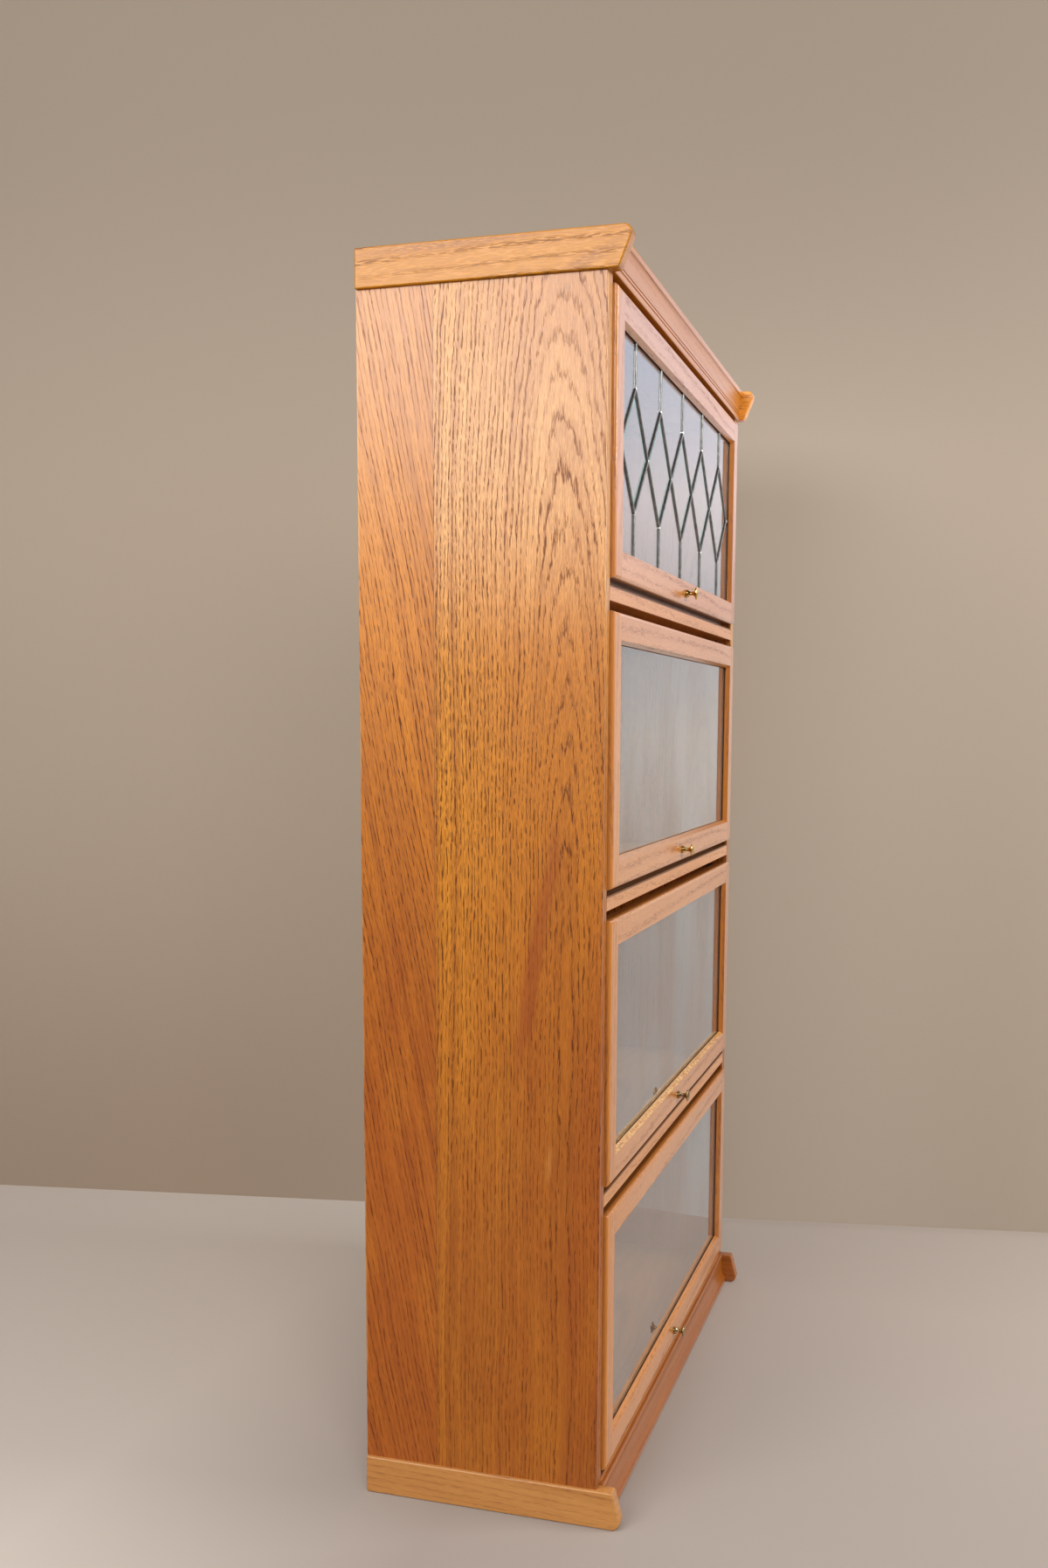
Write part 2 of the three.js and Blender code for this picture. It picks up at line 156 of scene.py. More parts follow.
# Oak: growth rings about a trunk axis, porous at the start of each ring

def oakGroup():
    group, given, result = newGroup(
        "oakGrain",
        [
            ("Vector", "Vector", None),
            ("Light", "Color", (0.6, 0.24, 0.05, 1)),
            ("Dark", "Color", (0.36, 0.11, 0.02, 1)),
            ("Pore", "Color", (0.16, 0.05, 0.01, 1)),
            ("Ring", "Float", 0.006),
            ("Waviness", "Float", 0.02),
            ("Figure", "Float", 0.7),
            ("Pores", "Float", 0.7),
        ],
        [("Color", "Color"), ("Roughness", "Float"), ("Height", "Float")],
    )
    place = given.outputs["Vector"]
    broad = noiseOf(group, place, (4.0, 4.0, 1.1), 2.0)
    sway = vectorOf(group, "SUBTRACT", broad.outputs["Color"], (0.5, 0.5, 0.5))
    sway = scaledOf(group, sway, given.outputs["Waviness"])
    close = noiseOf(group, place, (34.0, 34.0, 7.0), 3.0)
    shiver = vectorOf(group, "SUBTRACT", close.outputs["Color"], (0.5, 0.5, 0.5))
    bent = vectorOf(group, "ADD", vectorOf(group, "ADD", place, sway), scaledOf(group, shiver, 0.006))
    parts = wire(group, "SeparateXYZ", {0: bent})
    flat = wire(group, "CombineXYZ", {0: parts.outputs[0], 1: parts.outputs[1], 2: 0.0})
    radius = lengthOf(group, flat.outputs[0])
    feather = noiseOf(group, bent, (210.0, 210.0, 26.0), 2.0).outputs[0]  # fibres fray each ring
    radius = mathOf(group, "ADD", radius, spanOf(group, feather, 0.25, 0.75, -0.0012, 0.0012))
    rings = mathOf(group, "DIVIDE", radius, given.outputs["Ring"])
    phase = mathOf(group, "FRACT", rings)
    early = spanOf(group, phase, 0.12, 0.46, 1.0, 0.0, smooth=True)  # porous wood at the start of a ring
    early = timesOf(group, early, spanOf(group, phase, 0.0, 0.1))
    yearly = wire(group, "TexNoise", {"W": timesOf(group, rings, 0.45), "Scale": 1.0, "Detail": 2.0},
                  noise_dimensions="1D").outputs[0]
    patchy = noiseOf(group, place, (26.0, 26.0, 9.0), 2.0).outputs[0]
    strength = timesOf(group, spanOf(group, yearly, 0.35, 0.60, 0.50, 1.0),
                       spanOf(group, patchy, 0.32, 0.56, 0.45, 1.0))
    early = timesOf(group, early, strength)
    streak = noiseOf(group, bent, (230.0, 230.0, 3.5), 3.0).outputs[0]
    cloud = noiseOf(group, place, (6.0, 6.0, 1.8), 3.0).outputs[0]
    tone = timesOf(group, early, given.outputs["Figure"])
    tone = mathOf(group, "ADD", tone, spanOf(group, yearly, 0.3, 0.7, -0.12, 0.3))
    tone = mathOf(group, "ADD", tone, spanOf(group, streak, 0.3, 0.7, -0.12, 0.22))
    fibre = noiseOf(group, bent, (760.0, 760.0, 34.0), 1.0).outputs[0]
    tone = mathOf(group, "ADD", tone, spanOf(group, fibre, 0.3, 0.7, -0.14, 0.14))
    tone = mathOf(group, "ADD", tone, spanOf(group, cloud, 0.3, 0.7, -0.1, 0.35), clamp=True)
    # short dark pores, thick in the early wood and thin in the late wood
    dashes = noiseOf(group, bent, (820.0, 820.0, 72.0), 1.0, 0.5).outputs[0]
    dots = spanOf(group, dashes, 0.47, 0.54)
    share = spanOf(group, early, 0.0, 1.0, 0.18, 1.0)
    pores = timesOf(group, timesOf(group, dots, share), given.outputs["Pores"], clamp=True)
    plain = blendOf(group, tone, given.outputs["Light"], given.outputs["Dark"])
    shown = blendOf(group, pores, plain, given.outputs["Pore"])
    rough = mathOf(group, "ADD", spanOf(group, cloud, 0.3, 0.7, 0.28, 0.36), timesOf(group, pores, 0.2))
    hollow = mathOf(group, "ADD", pores, timesOf(group, early, 0.15))
    height = mathOf(group, "SUBTRACT", 1.0, hollow)
    group.links.new(shown, result.inputs["Color"])
    group.links.new(rough, result.inputs["Roughness"])
    group.links.new(height, result.inputs["Height"])
    return group


oakGrain = oakGroup()

# Tones of the wood
boards = {
    "front": {"light": (0.61, 0.216, 0.008), "dark": (0.37, 0.104, 0.004), "pore": (0.17, 0.048, 0.003)},
    "back": {"light": (0.65, 0.228, 0.008), "dark": (0.35, 0.092, 0.004), "pore": (0.16, 0.040, 0.003)},
    "crown": {"light": (0.54, 0.212, 0.006), "dark": (0.36, 0.112, 0.004), "pore": (0.12, 0.034, 0.003)},
    "crownRightLit": {"light": (0.94, 0.380, 0.032), "dark": (0.62, 0.200, 0.010), "pore": (0.30, 0.085, 0.008)},
    "base": {"light": (0.57, 0.258, 0.068), "dark": (0.45, 0.176, 0.040), "pore": (0.20, 0.062, 0.012)},
    "edge": {"light": (0.72, 0.300, 0.080), "dark": (0.56, 0.205, 0.045), "pore": (0.17, 0.048, 0.008)},
    "door": {"light": (0.66, 0.250, 0.046), "dark": (0.50, 0.165, 0.026), "pore": (0.24, 0.075, 0.018)},
    "doorRightShaded": {"light": (0.56, 0.190, 0.022), "dark": (0.40, 0.115, 0.012), "pore": (0.20, 0.055, 0.010)},
    "moulding": {"light": (0.60, 0.215, 0.012), "dark": (0.44, 0.138, 0.007), "pore": (0.22, 0.062, 0.008)},
    "lowMoulding": {"light": (0.40, 0.116, 0.01), "dark": (0.28, 0.072, 0.005), "pore": (0.15, 0.038, 0.004)},
    "inside": {"light": (0.50, 0.19, 0.04), "dark": (0.34, 0.11, 0.02), "pore": (0.17, 0.06, 0.012)},
    "ply": {"light": (0.48, 0.22, 0.075), "dark": (0.34, 0.14, 0.04), "pore": (0.18, 0.07, 0.02)},
}


# Each board is cut from a trunk: pith is a point on its axis, tilt turns the axis a little, in degrees
def boardNodes(tree, place, tone, axis, pith, tilt=(0, 0), ring=0.006, waviness=0.02, figure=0.7, pores=0.7):
    turn = Matrix.Rotation(math.radians(tilt[0]), 3, "X") @ Matrix.Rotation(math.radians(tilt[1]), 3, "Y")
    if axis == "x":
        turn = turn @ Matrix.Rotation(math.pi / 2, 3, "Y")
    elif axis == "y":
        turn = turn @ Matrix.Rotation(-math.pi / 2, 3, "X")
    mapped = wire(tree, "Mapping", {"Vector": place, "Location": pith, "Rotation": turn.to_euler()},
                  vector_type="TEXTURE")
    made = wire(tree, "Group", node_tree=oakGrain)
    tree.links.new(mapped.outputs[0], made.inputs["Vector"])
    for key in ("light", "dark", "pore"):
        made.inputs[key.capitalize()].default_value = (*boards[tone][key], 1)
    for key, value in (("Ring", ring), ("Waviness", waviness), ("Figure", figure), ("Pores", pores)):
        made.inputs[key].default_value = value
    return made


def varnished(tree, color, roughness, height, coat, coatRough, gloss, coatIndex=1.5, matt=None):
    bump = wire(tree, "Bump", {"Height": height, "Strength": 0.55, "Distance": 0.00035})
    polish = spanOf(tree, height, 0.1, 0.9, coat * 0.55, coat)  # open pores take less polish
    if matt:
        clean = mathOf(tree, "SUBTRACT", 1.0, matt)
        polish = timesOf(tree, polish, clean)
        gloss = timesOf(tree, clean, gloss)
    shader = wire(tree, "BsdfPrincipled", {
        "Base Color": color,
        "Roughness": roughness,
        "Normal": bump.outputs[0],
        "IOR": 1.5,
        "Specular IOR Level": gloss,
        "Coat Weight": polish,
        "Coat Roughness": coatRough,
        "Coat IOR": coatIndex,
        "Coat Normal": bump.outputs[0],
    })
    wire(tree, "OutputMaterial", {"Surface": shader.outputs[0]})


def freshMaterial(name):
    material = bpy.data.materials.new(name)
    material.use_nodes = True
    material.node_tree.nodes.clear()
    return material, material.node_tree


# A long patch in y and z with a frayed border
def patchGroup():
    group, given, result = newGroup(
        "softPatch",
        [
            ("Vector", "Vector", None),
            ("Place", "Vector", None),
            ("Lean", "Float", None),
            ("Spread", "Vector", None),
            ("Fray", "Float", None),
        ],
        [("Mask", "Float")],
    )
    turned = wire(group, "Mapping", {
        "Vector": given.outputs["Vector"],
        "Location": given.outputs["Place"],
        "Rotation": wire(group, "CombineXYZ", {0: given.outputs["Lean"]}).outputs[0],
        "Scale": given.outputs["Spread"],
    }, vector_type="TEXTURE")
    parts = wire(group, "SeparateXYZ", {0: turned.outputs[0]})
    flat = wire(group, "CombineXYZ", {1: parts.outputs[1], 2: parts.outputs[2]})
    frayed = spanOf(group, given.outputs["Fray"], 0.25, 0.75, -0.35, 0.35)
    away = mathOf(group, "ADD", lengthOf(group, flat.outputs[0]), frayed)
    group.links.new(spanOf(group, away, 0.35, 1.1, 1.0, 0.0, smooth=True), result.inputs["Mask"])
    return group


softPatch = patchGroup()


def patchMask(tree, place, patch, fray):
    return wire(tree, "Group", {
        "Vector": place,
        "Place": patch["place"],
        "Lean": math.radians(patch["lean"]),
        "Spread": patch["spread"],
        "Fray": fray,
    }, node_tree=softPatch).outputs["Mask"]


# Painted shade darkens the undercut by the glass, and the sides of the door in the gap round it, and takes
# away their polish
def gapShadeGroup():
    labels = ("Wide", "Tall", "Centre", "Depth", "Reach", "Shade From", "Shade Full", "Outer Wide",
              "Outer Tall")
    group, given, result = newGroup(
        "doorGapShade",
        [("Vector", "Vector", None)] + [(label, "Float", None) for label in labels],
        [("Mask", "Float")],
    )
    wide, tall, centre, depth, reach, shadeFrom, shadeFull, outerWide, outerTall = (
        given.outputs[label] for label in labels
    )
    parts = wire(group, "SeparateXYZ", {0: given.outputs["Vector"]})
    aside = mathOf(group, "ABSOLUTE", parts.outputs[0])
    rise = mathOf(group, "ABSOLUTE", mathOf(group, "SUBTRACT", parts.outputs[2], centre))
    away = mathOf(group, "ABSOLUTE", mathOf(group, "SUBTRACT", parts.outputs[1], depth))
    mask = timesOf(group, mathOf(group, "LESS_THAN", aside, wide), mathOf(group, "LESS_THAN", rise, tall))
    mask = timesOf(group, mask, mathOf(group, "LESS_THAN", away, reach))
    gap = mathOf(group, "MAXIMUM", mathOf(group, "GREATER_THAN", rise, outerTall),
                 mathOf(group, "GREATER_THAN", aside, outerWide))
    inner = spanOf(group, parts.outputs[1], shadeFrom, shadeFull, 0.0, 0.8)
    group.links.new(mathOf(group, "MAXIMUM", mask, timesOf(group, gap, inner)), result.inputs["Mask"])
    return group


doorGapShade = gapShadeGroup()


def oakMaterial(name, tone, axis, pith, coat=0.3, coatRough=0.25, streaks=(), opening=None, worn=None,
                shadedLippingTop=None, gloss=0.5, **cut):
    material, tree = freshMaterial(name)
    place = wire(tree, "TexCoord").outputs["Object"]
    board = boardNodes(tree, place, tone, axis, pith, **cut)
    color = board.outputs["Color"]
    for patch in streaks:
        fray = noiseOf(tree, place, (300.0, 95.0, 620.0), 3.0).outputs[0]
        mask = timesOf(tree, patchMask(tree, place, patch, fray), spanOf(tree, fray, 0.40, 0.56, 0.0, 0.75))
        color = blendOf(tree, mask, color, (0.27, 0.080, 0.004, 1))
    if worn:  # the polish is rubbed off in specks along the top of the rail
        specks = noiseOf(tree, place, (260.0, 260.0, 260.0), 2.0).outputs[0]
        mask = timesOf(tree, mathOf(tree, "GREATER_THAN", upwardOf(tree, place), worn),
                       spanOf(tree, specks, 0.50, 0.56, 0.0, 0.8))
        color = blendOf(tree, mask, color, (0.90, 0.60, 0.18, 1))
    paintedShade = None
    if opening:
        paintedShade = wire(tree, "Group", {"Vector": place, **opening}, node_tree=doorGapShade).outputs["Mask"]
    elif shadedLippingTop:  # painted shade on the top edge of a lipping, behind the door above it
        paintedShade = spanOf(tree, upwardOf(tree, place), shadedLippingTop - 0.0030, shadedLippingTop - 0.0020, 0.0, 0.8)
    # a dark brown painted shade in the door's gaps and undercut, and on a lipping behind the door above
    if paintedShade:
        color = blendOf(tree, paintedShade, color, (0.06, 0.018, 0.006, 1))
    varnished(tree, color, board.outputs["Roughness"], board.outputs["Height"], coat=coat,
              coatRough=coatRough, gloss=gloss, matt=paintedShade)
    return material


# The side panels are glued up from a broad front board and a narrow, redder back board

panelSetup = {
    "face": 0.455,
    "joint": 0.218,
    "line": 0.0005,
    "pith": {"across": 0.050, "level": 0.86, "top": 1.62, "near": 0.014, "far": 0.082},
    "stain": {"place": (0.0, 0.086, 0.73), "lean": 9.0, "spread": (1.0, 0.013, 0.17)},
    "scuff": {"place": (0.0, 0.066, 0.475), "lean": 3.0, "spread": (1.0, 0.006, 0.03)},
}


def panelMaterial(name, side):
    material, tree = freshMaterial(name)
    place = wire(tree, "TexCoord").outputs["Object"]
    face = panelSetup["face"] * side
    parts = wire(tree, "SeparateXYZ", {0: place})
    across, upward = parts.outputs[1], parts.outputs[2]
    # above the middle the front board's pith draws away from the face, so its rings show as arches there
    cut = panelSetup["pith"]
    pith = spanOf(tree, upward, cut["level"], cut["top"], cut["near"], cut["far"])
    inward = timesOf(tree, mathOf(tree, "SUBTRACT", parts.outputs[0], face), -side)
    sawn = wire(tree, "CombineXYZ", {
        0: mathOf(tree, "ADD", pith, inward),
        1: mathOf(tree, "SUBTRACT", across, cut["across"]),
        2: upward,
    })
    front = boardNodes(tree, sawn.outputs[0], "front", "z", (0, 0, 0), ring=0.0050, waviness=0.042)
    back = boardNodes(tree, place, "back", "z", (face - side * 0.05, 0.50, 0.0), tilt=(-11, 0),
                      ring=0.0060, waviness=0.075, figure=0.40)
    tree.links.new(spanOf(tree, upward, 0.50, 1.15, 0.24, 0.50, smooth=True), front.inputs["Figure"])
    # pores show most half way up and beside the glue line, where the wood is palest too
    coarse = timesOf(tree, spanOf(tree, upward, 1.0, 1.45, 1.55, 0.82, smooth=True),
                     spanOf(tree, upward, 0.30, 0.9, 0.60, 1.0, smooth=True))
    tree.links.new(timesOf(tree, coarse, 0.87), back.inputs["Pores"])
    nearGlue = timesOf(tree, spanOf(tree, across, 0.09, 0.20, smooth=True),
                       spanOf(tree, upward, 0.3, 0.9, smooth=True))
    coarse = timesOf(tree, coarse, spanOf(tree, nearGlue, 0.0, 1.0, 1.0, 1.4))
    tree.links.new(coarse, front.inputs["Pores"])
    lightToneAndSheen = blendOf(tree, nearGlue, (*boards["front"]["light"], 1), (0.68, 0.262, 0.009, 1))
    # painted sheen: the front board's light tone is made paler from the arches up, where the varnish's broad
    # highlight lies
    paintedSheen = timesOf(tree, spanOf(tree, upward, 1.08, 1.27, smooth=True),
                    spanOf(tree, upward, 1.30, 1.56, 1.0, 0.1, smooth=True))
    lightToneAndSheen = blendOf(tree, paintedSheen, lightToneAndSheen, (0.76, 0.37, 0.11, 1))
    tree.links.new(lightToneAndSheen, front.inputs["Light"])
    isBack = mathOf(tree, "GREATER_THAN", across, panelSetup["joint"])
    color = blendOf(tree, isBack, front.outputs["Color"], back.outputs["Color"])
    distance = mathOf(tree, "ABSOLUTE", mathOf(tree, "SUBTRACT", across, panelSetup["joint"]))
    seam = mathOf(tree, "LESS_THAN", distance, panelSetup["line"])
    color = blendOf(tree, timesOf(tree, seam, 0.5), color, (0.2, 0.07, 0.015, 1))
    fray = noiseOf(tree, place, (60.0, 60.0, 5.0), 3.0).outputs[0]
    stain = timesOf(tree, patchMask(tree, place, panelSetup["stain"], fray), 0.55)
    color = blendOf(tree, stain, color, (0.36, 0.078, 0.007, 1))
    # the lower half is browner, in blotches: partly the wood's own tone and partly painted shade for the
    # light falling off lower down
    blotch = noiseOf(tree, place, (19.0, 19.0, 4.5), 4.0).outputs[0]
    lowerToneAndShade = timesOf(tree, spanOf(tree, upward, 0.42, 1.34, 1.0, 0.0, smooth=True),
                      spanOf(tree, blotch, 0.34, 0.64, 0.60, 1))
    share = mathOf(tree, "MAXIMUM", spanOf(tree, across, 0.04, 0.19, 1.05, 0.70), timesOf(tree, isBack, 1.2))
    color = blendOf(tree, timesOf(tree, lowerToneAndShade, share, clamp=True), color, (0.66, 0.47, 0.5, 1),
                    mode="MULTIPLY")
    # painted shade: the top is made a little duller, against the stronger lamp light up there
    color = blendOf(tree, spanOf(tree, upward, 1.15, 1.50, smooth=True), color, (0.90, 0.93, 1.0, 1),
                    mode="MULTIPLY")
    # painted highlight: the front edge is made paler and more golden high up, where its arris catches the
    # lamps
    edge = timesOf(tree, mathOf(tree, "LESS_THAN", across, 0.001),
                   spanOf(tree, upward, 0.85, 1.3, smooth=True))
    color = blendOf(tree, edge, color, (1.25, 1.45, 2.0, 1), mode="MULTIPLY")
    scuff = timesOf(tree, patchMask(tree, place, panelSetup["scuff"], fray), 0.25)
    color = blendOf(tree, scuff, color, (0.66, 0.30, 0.07, 1))
    # varnish rubbed thin along the back edge, with a painted rim highlight there too: the edge is made paler
    # in noisy streaks
    rub = noiseOf(tree, place, (40.0, 40.0, 14.0), 3.0).outputs[0]
    rubbedAndRimLit = timesOf(tree, spanOf(tree, across, 0.3155, 0.3172), spanOf(tree, rub, 0.42, 0.58, 0.0, 0.35))
    color = blendOf(tree, rubbedAndRimLit, color, (0.74, 0.44, 0.16, 1))
    rough, height = (wire(tree, "Mix", {0: isBack, 2: front.outputs[key], 3: back.outputs[key]}).outputs[0]
                     for key in ("Roughness", "Height"))
    varnished(tree, color, rough, height, coat=1.0, coatRough=0.33, gloss=0.0, coatIndex=1.72)
    return material


print("oak materials ready")


# Wooden pieces: the CAD shape merged, its arrises eased and its curves shaded smooth

easing = {
    "merge": 0.000002,
    "flat": 0.5,  # degrees; faces flatter than this are joined
    "arris": 50,  # degrees; edges sharper than this are eased
    "smooth": 38,
}


def eased(node, body, material, width, shortest=0.0, segments=2):
    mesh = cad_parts[node].data.copy()
    mesh.name = node + "Dressed"
    mesh.materials.clear()
    work = bmesh.new()
    work.from_mesh(mesh)
    bmesh.ops.remove_doubles(work, verts=work.verts, dist=easing["merge"])
    bmesh.ops.dissolve_limit(work, angle_limit=math.radians(easing["flat"]), verts=work.verts,
                             edges=work.edges)
    sharp = [
        edge for edge in work.edges
        if len(edge.link_faces) == 2
        and edge.calc_face_angle() > math.radians(easing["arris"])
        and edge.calc_length() > shortest
    ]
    bmesh.ops.bevel(work, geom=sharp, offset=width, offset_type="OFFSET", segments=segments, profile=0.5,
                    affect="EDGES", material=-1, clamp_overlap=True)
    work.to_mesh(mesh)
    work.free()
    mesh.materials.append(material)
    mesh.shade_smooth()
    mesh.set_sharp_from_angle(angle=math.radians(easing["smooth"]))
    piece = bpy.data.objects.new(node + "_wood", mesh)
    scene.collection.objects.link(piece)
    finer = piece.modifiers.new("normals", "WEIGHTED_NORMAL")
    finer.keep_sharp = True
    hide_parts(node)
    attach(piece, body)


crownStreaks = [
    {"place": (0.0, 0.022, 1.562), "lean": -24.0, "spread": (1.0, 0.060, 0.011)},
    {"place": (0.0, 0.20, 1.592), "lean": -1.0, "spread": (1.0, 0.150, 0.006)},
]
# the right crown end takes a far lighter tone than the left: painted light, as its inner side faces away from
# the lamps
for side, label, crownTone, baseTone in ((-1, "left", "crown", "base"),
                                         (1, "right", "crownRightLit", "lowMoulding")):
    eased(label + "_side_panel", "carcase", panelMaterial(label + "Panel", side),
          width=0.0008, shortest=0.1)
    eased("crown_" + label + "_end", "carcase",
          oakMaterial(label + "CrownEnd", crownTone, "y", (side * 0.44, 0.1, 1.36), tilt=(-1.5, side * 0.6),
                      ring=0.017, waviness=0.03, figure=0.12, pores=0.9, streaks=crownStreaks,
                      coat=0.15, gloss=0.42),
          width=0.0020, segments=3)
    eased("base_" + label + "_end", "carcase",
          oakMaterial(label + "BaseEnd", baseTone, "y", (side * 0.44, 0.1, 0.20), tilt=(2.5, 0), ring=0.009,
                      waviness=0.03, figure=0.26, pores=0.45),
          width=0.0028, segments=4)

for part, tone, depth in (("crown", "moulding", 1.52), ("base", "lowMoulding", 0.12)):
    eased(part + "_moulding", "carcase",
          oakMaterial(part + "Moulding", tone, "x", (0.0, 0.06, depth), tilt=(0, 1.2), ring=0.009,
                      figure=0.22, pores=0.35),
          width=0.0004, shortest=0.1)
    eased(part + "_back_rail", "carcase",
          oakMaterial(part + "Rail", "inside", "x", (0.0, 0.4, depth), ring=0.006),
          width=0.001, shortest=0.01)

eased("crown_top_board", "carcase",
      oakMaterial("topBoard", "front", "x", (0.0, 0.2, 1.50), tilt=(0, 1.5), ring=0.0065, figure=0.8),
      width=0.001, shortest=0.05)
eased("back_panel", "carcase",
      oakMaterial("backPly", "ply", "z", (0.1, 0.42, 0.0), tilt=(2, 1.5), ring=0.007, figure=0.5, pores=0.5),
      width=0.0004, shortest=0.05)

tierRise = 0.3787  # from one shelf to the next
for number, name in enumerate(("bottom_board", "shelf_3", "shelf_2", "shelf_1")):
    level = 0.05 + tierRise * number
    eased(name, "carcase",
          oakMaterial(name + "Oak", "inside", "x", (0.0, 0.12, level - 0.09), tilt=(0, 1.5), ring=0.006),
          width=0.0005, shortest=0.05)
    eased(name + "_lipping", "carcase",
          oakMaterial(name + "Edge", "edge", "x", (0.1 * number, 0.05, level - 0.04), tilt=(0, 1.8),
                      shadedLippingTop=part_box(name + "_lipping")[1][2], ring=0.009, figure=0.35, pores=0.6),
          width=0.0004, shortest=0.1)
for number in range(1, 5):
    eased(f"door_stop_{number}", "carcase",
          oakMaterial(f"stop{number}", "inside", "x", (0.0, 0.05, tierRise * (4 - number)), ring=0.005),
          width=0.0006, shortest=0.005)
print("case pieces dressed")


# Doors

doorSetup = {
    "sight": (0.3926, 0.132),  # half width and half height of the opening
    "undercut": 0.0028,
    "quirk": (0.0006, 0.0009),  # the undercut's middle in front of the glass, and half its width
    "skin": 0.0004,  # the outer sides of a door lie within this of its box
    "dust": (0.006, 0.010),  # where the painted shade begins and is full, behind the door's face
    "specks": 0.1365,  # rubbed specks start this far below the middle of the third door
    "finish": {"ring": 0.008, "figure": 0.34, "pores": 0.75, "coat": 0.6, "coatRough": 0.13},
}
for number in range(1, 5):
    low = 0.065 + tierRise * (4 - number)
    glassLow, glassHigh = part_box(f"door_{number}_glass")
    doorLow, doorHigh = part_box(f"door_{number}_left_stile")[0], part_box(f"door_{number}_right_stile")[1]
    opening = {
        "Wide": doorSetup["sight"][0] + doorSetup["undercut"],
        "Tall": doorSetup["sight"][1] + doorSetup["undercut"],
        "Centre": (glassLow[2] + glassHigh[2]) / 2,
        "Depth": glassLow[1] - doorSetup["quirk"][0],
        "Reach": doorSetup["quirk"][1],
        "Shade From": doorLow[1] + doorSetup["dust"][0],
        "Shade Full": doorLow[1] + doorSetup["dust"][1],
        "Outer Wide": doorHigh[0] - doorSetup["skin"],
        "Outer Tall": (doorHigh[2] - doorLow[2]) / 2 - doorSetup["skin"],
    }
    # the right stiles take a darker, more orange tone, partly painted shade for their inner edges, which lie
    # in shade
    for side, label, tone in ((-1, "left", "door"), (1, "right", "doorRightShaded")):
        eased(f"door_{number}_{label}_stile", f"door_{number}",
              oakMaterial(f"door{number}{label}Stile", tone, "z",
                          (side * 0.41 + 0.02 * number, 0.06 + 0.01 * number, low),
                          tilt=(1.5 * number - 4, 1.0), opening=opening, **doorSetup["finish"]),
              width=0.0003, shortest=0.012)
    for label, rise in (("top", 0.35), ("bottom", 0.05)):
        worn = opening["Centre"] - doorSetup["specks"] if (label, number) == ("bottom", 3) else None
        eased(f"door_{number}_{label}_rail", f"door_{number}",
              oakMaterial(f"door{number}{label}Rail", "door", "x", (0.1 * number, 0.07, low + rise),
                          tilt=(0, 2.2 - 0.9 * number), opening=opening, worn=worn, **doorSetup["finish"]),
              width=0.0003, shortest=0.012)
print("doors dressed")


def glassMaterial(name, tint, bevelGlint=None):
    material, tree = freshMaterial(name)
    place = wire(tree, "TexCoord").outputs["Object"]
    smear = noiseOf(tree, place, (9.0, 9.0, 9.0), 3.0).outputs[0]
    rough = spanOf(tree, smear, 0.35, 0.75, 0.0, 0.03)
    swell = noiseOf(tree, place, (14.0, 14.0, 14.0), 1.0).outputs[0]
    bump = wire(tree, "Bump", {"Height": swell, "Strength": 0.03, "Distance": 0.001})
    shader = wire(tree, "BsdfPrincipled", {
        "Base Color": tint,
        "Roughness": rough,
        "Normal": bump.outputs[0],
        "IOR": 1.52,
        "Transmission Weight": 1.0,
    })
    seen = wire(tree, "LightPath")
    clear = wire(tree, "BsdfTransparent", {"Color": (0.80, 0.84, 0.84, 1)})
    dust = wire(tree, "BsdfDiffuse", {"Color": (0.62, 0.66, 0.70, 1)})
    settled = wire(tree, "MixShader", {0: spanOf(tree, smear, 0.3, 0.7, 0.03, 0.07), 1: shader.outputs[0],
                                       2: dust.outputs[0]})
    if bevelGlint:  # painted glint: a ground bevel gets a pale teal diffuse layer for the glints it catches
        ground = wire(tree, "Attribute", attribute_name="ground").outputs["Fac"]
        bright = wire(tree, "BsdfDiffuse", {"Color": bevelGlint})
        settled = wire(tree, "MixShader", {0: timesOf(tree, ground, 0.38), 1: settled.outputs[0],
                                           2: bright.outputs[0]})
    mixed = wire(tree, "MixShader", {0: seen.outputs["Is Shadow Ray"], 1: settled.outputs[0],
                                     2: clear.outputs[0]})
    wire(tree, "OutputMaterial", {"Surface": mixed.outputs[0]})
    return material


def give(node, material):
    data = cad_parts[node].data
    data.materials.clear()
    data.materials.append(material)


paneGlass = glassMaterial("paneGlass", (0.78, 0.83, 0.84, 1))
bevelGlass = glassMaterial("bevelGlass", (0.76, 0.84, 0.84, 1), bevelGlint=(0.50, 0.82, 0.76, 1))
for number in (2, 3, 4):
    give(f"door_{number}_glass", paneGlass)


def tarnishGroup():
    group, given, result = newGroup(
        "tarnish",
        [
            ("Vector", "Vector", None),
            ("Tone", "Color", None),
            ("Worn", "Color", None),
            ("Rough", "Float", None),
        ],
        [("Color", "Color"), ("Roughness", "Float"), ("Height", "Float")],
    )
    place, rough = given.outputs["Vector"], given.outputs["Rough"]
    cloud = noiseOf(group, place, (160.0, 160.0, 160.0), 3.0).outputs[0]
    speck = noiseOf(group, place, (900.0, 900.0, 900.0), 2.0).outputs[0]
    color = blendOf(group, spanOf(group, cloud, 0.4, 0.65), given.outputs["Tone"], given.outputs["Worn"])
    duller = spanOf(group, cloud, 0.3, 0.7, rough, mathOf(group, "ADD", rough, 0.15))
    group.links.new(color, result.inputs["Color"])
    group.links.new(duller, result.inputs["Roughness"])
    group.links.new(speck, result.inputs["Height"])
    return group


tarnish = tarnishGroup()


